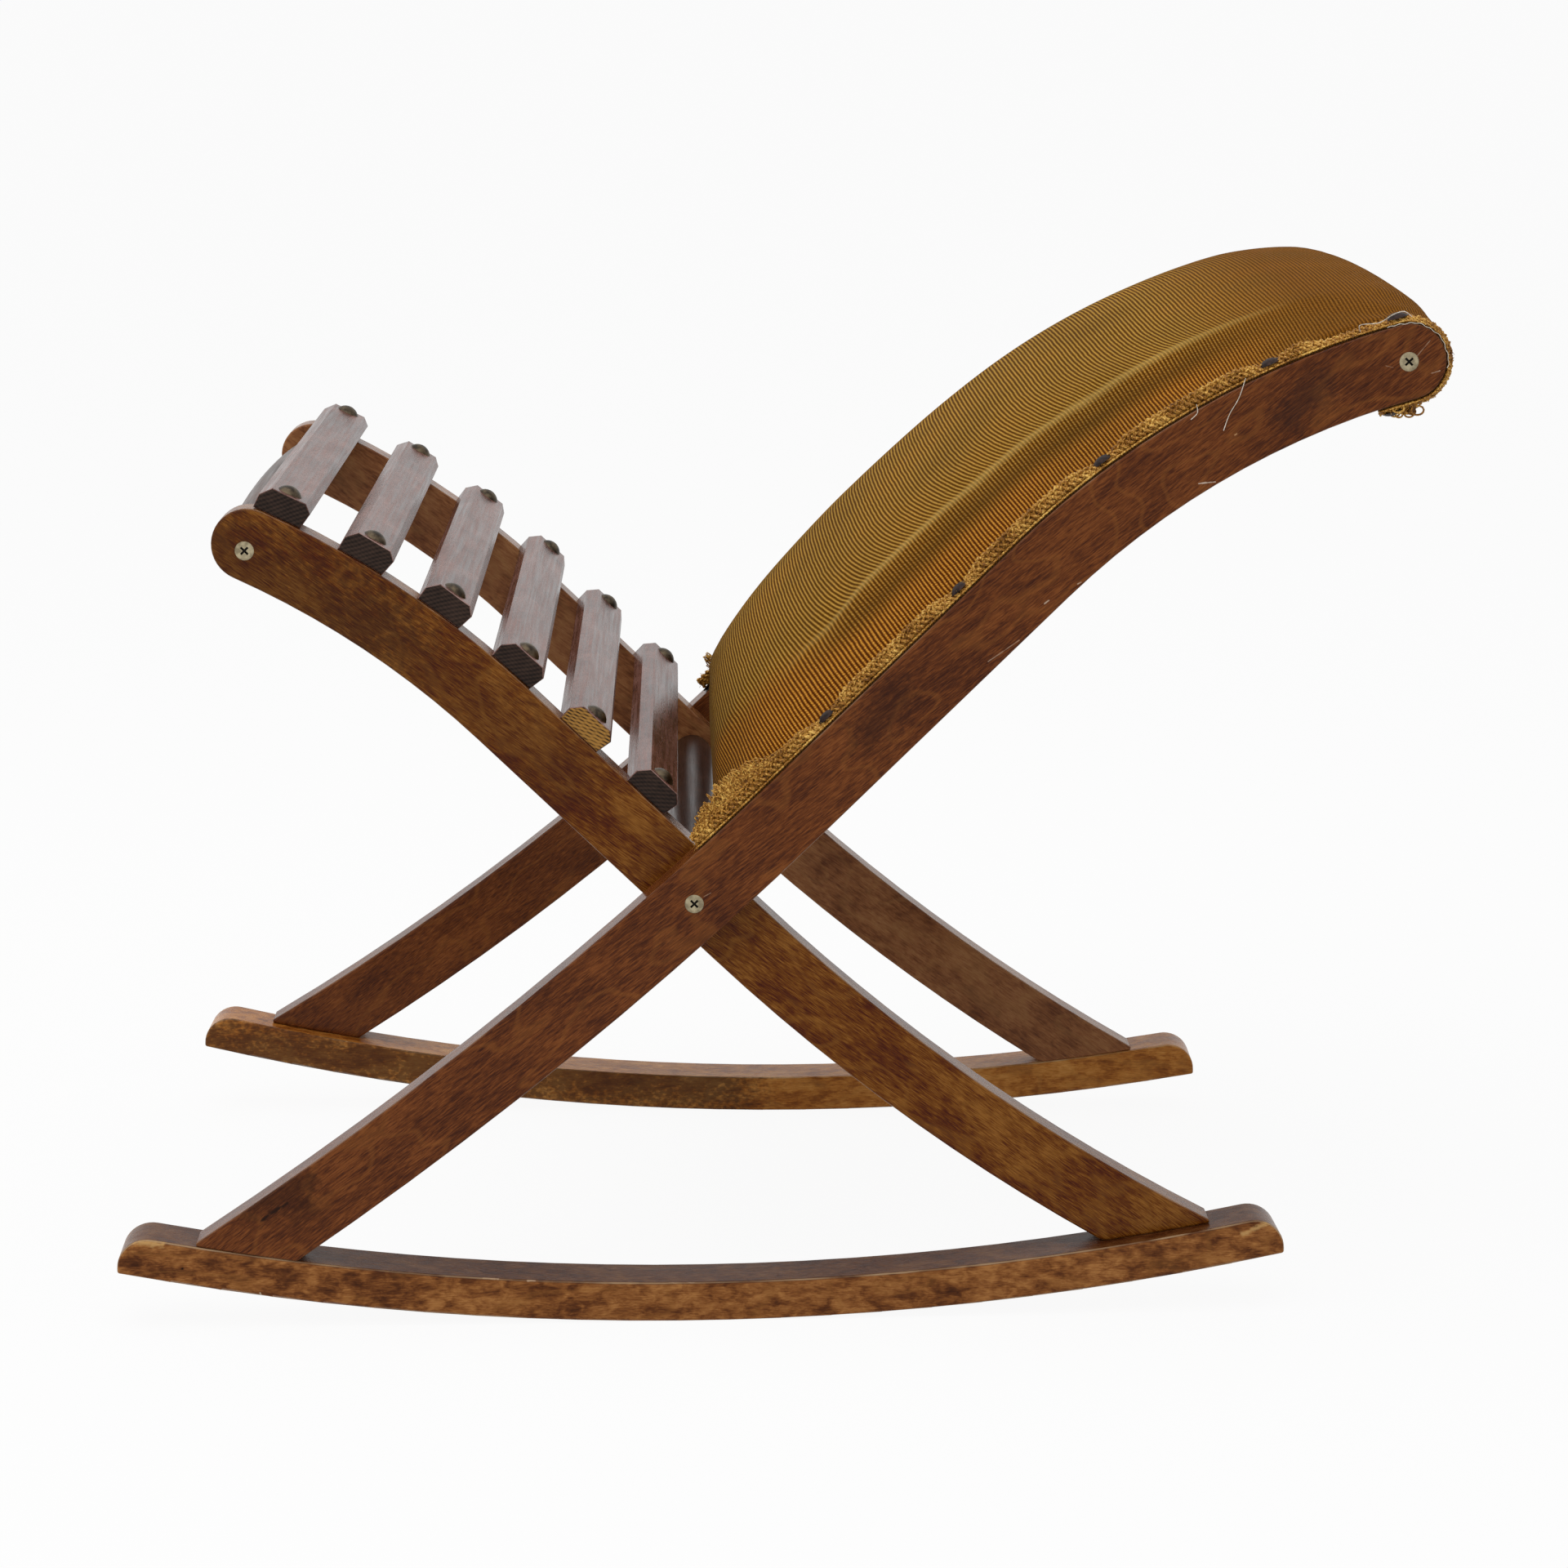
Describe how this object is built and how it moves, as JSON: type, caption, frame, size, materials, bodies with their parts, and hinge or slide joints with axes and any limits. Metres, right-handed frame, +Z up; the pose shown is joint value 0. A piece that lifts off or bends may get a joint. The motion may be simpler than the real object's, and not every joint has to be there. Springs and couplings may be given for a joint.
{
  "type": "rocking footstool",
  "caption": "Low rocking footstool: crossed bowed side frames on curved rockers, a slatted wooden end and a velvet-covered padded end.",
  "frame": {"origin": "on the floor, midway between the rockers, under the lowest point of the left rocker", "axes": "+X along the stool from the slatted end to the cushioned end, +Y across it from the left side to the right, +Z up"},
  "size_m": [0.6147, 0.382, 0.4843],
  "materials": {
    "rocker_beech": "satin",
    "cushion_leg_beech": "satin",
    "slat_leg_beech": "satin",
    "turned_beech": "satin",
    "slat_beech": "satin",
    "plain_dowel": "matte",
    "domed_nails": "satin",
    "bronzed_nails": "satin",
    "screws": "satin",
    "braid": "matte",
    "velvet": "matte",
    "webbing": "matte",
    "hessian": "matte",
    "filling": "matte"
  },
  "bodies": {
    "root": {"base_cloth": "hessian", "crossing_spindle": "turned_beech", "cushion_end_spindle": "turned_beech", "cushion_pad": "filling", "foot_dowels": "plain_dowel", "frame_screws": "screws", "left_braid": "braid", "left_braid_nails": "bronzed_nails", "left_cushion_leg": "cushion_leg_beech", "left_rocker": "rocker_beech", "left_slat_leg": "slat_leg_beech", "right_braid": "braid", "right_braid_nails": "bronzed_nails", "right_cushion_leg": "cushion_leg_beech", "right_rocker": "rocker_beech", "right_slat_leg": "slat_leg_beech", "seat_webbing": "webbing", "slat_1": "slat_beech", "slat_2": "slat_beech", "slat_3": "slat_beech", "slat_4": "slat_beech", "slat_5": "slat_beech", "slat_6": "slat_beech", "slat_end_spindle": "turned_beech", "slat_nails": "domed_nails", "velvet_cover": "velvet"}
  },
  "joints": []
}
